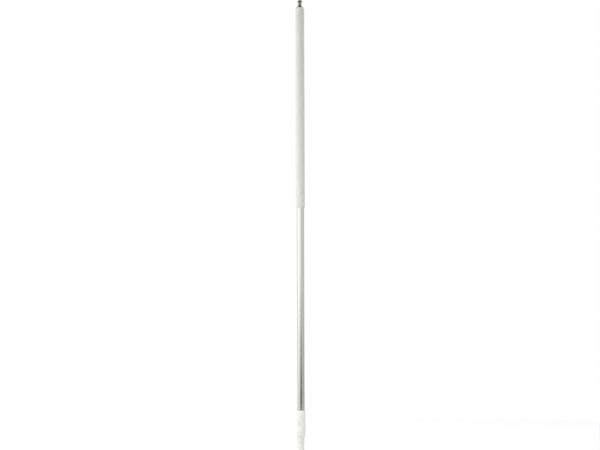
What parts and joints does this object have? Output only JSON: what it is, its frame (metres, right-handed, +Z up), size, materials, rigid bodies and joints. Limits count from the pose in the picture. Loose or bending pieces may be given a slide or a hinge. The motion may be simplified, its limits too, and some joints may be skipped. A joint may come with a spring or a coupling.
{
  "type": "water-fed tool handle",
  "caption": "Straight aluminium pole with a long white grip sleeve, a metal hose nipple on top and a white threaded tool socket below, hollow so that water runs through it.",
  "frame": {"origin": "centre of the spigot's end face at the pole's lower end, where a tool is screwed on", "axes": "+Z up the pole towards the hose nipple, which is also the water way; -Y is the front, which carries the blank label recess"},
  "size_m": [0.0318, 0.0318, 1.54],
  "materials": {
    "white_plastic": "moulded polypropylene, soft sheen",
    "plug_plastic": "moulded polypropylene in light grey, soft sheen",
    "grip_plastic": "matt extruded sleeve",
    "aluminium": "satin anodised, drawn lengthways",
    "steel": "turned",
    "brass": "knurled outside",
    "rubber": "matt"
  },
  "bodies": {
    "handle": {"tool_socket": "white_plastic", "tool_seal_ring": "rubber", "socket_lower_ring": "rubber", "socket_upper_ring": "rubber", "socket_pins": "steel", "main_tube": "aluminium", "grip_sleeve": "grip_plastic", "end_plug": "plug_plastic", "plug_lower_ring": "rubber", "plug_upper_ring": "rubber", "plug_pins": "steel", "thread_insert": "brass"},
    "gasket": {"nipple_gasket": "rubber"},
    "nipple": {"hose_nipple": "steel", "nipple_seal_ring": "rubber"}
  },
  "joints": [
    {"name": "nipple_lift", "type": "slide", "parent": "handle", "child": "gasket", "axis": [0, 0, 1], "range_m": [0, 0.00935]},
    {"name": "nipple_unscrew", "type": "hinge", "parent": "gasket", "child": "nipple", "pos_m": [0, 0, 1.5163], "axis": [0, 0, 1], "range_deg": [0, 2520]}
  ],
  "couplings": [
    {"joint": "nipple_unscrew", "follows": "nipple_lift", "rad_per_m": 4700.1}
  ]
}
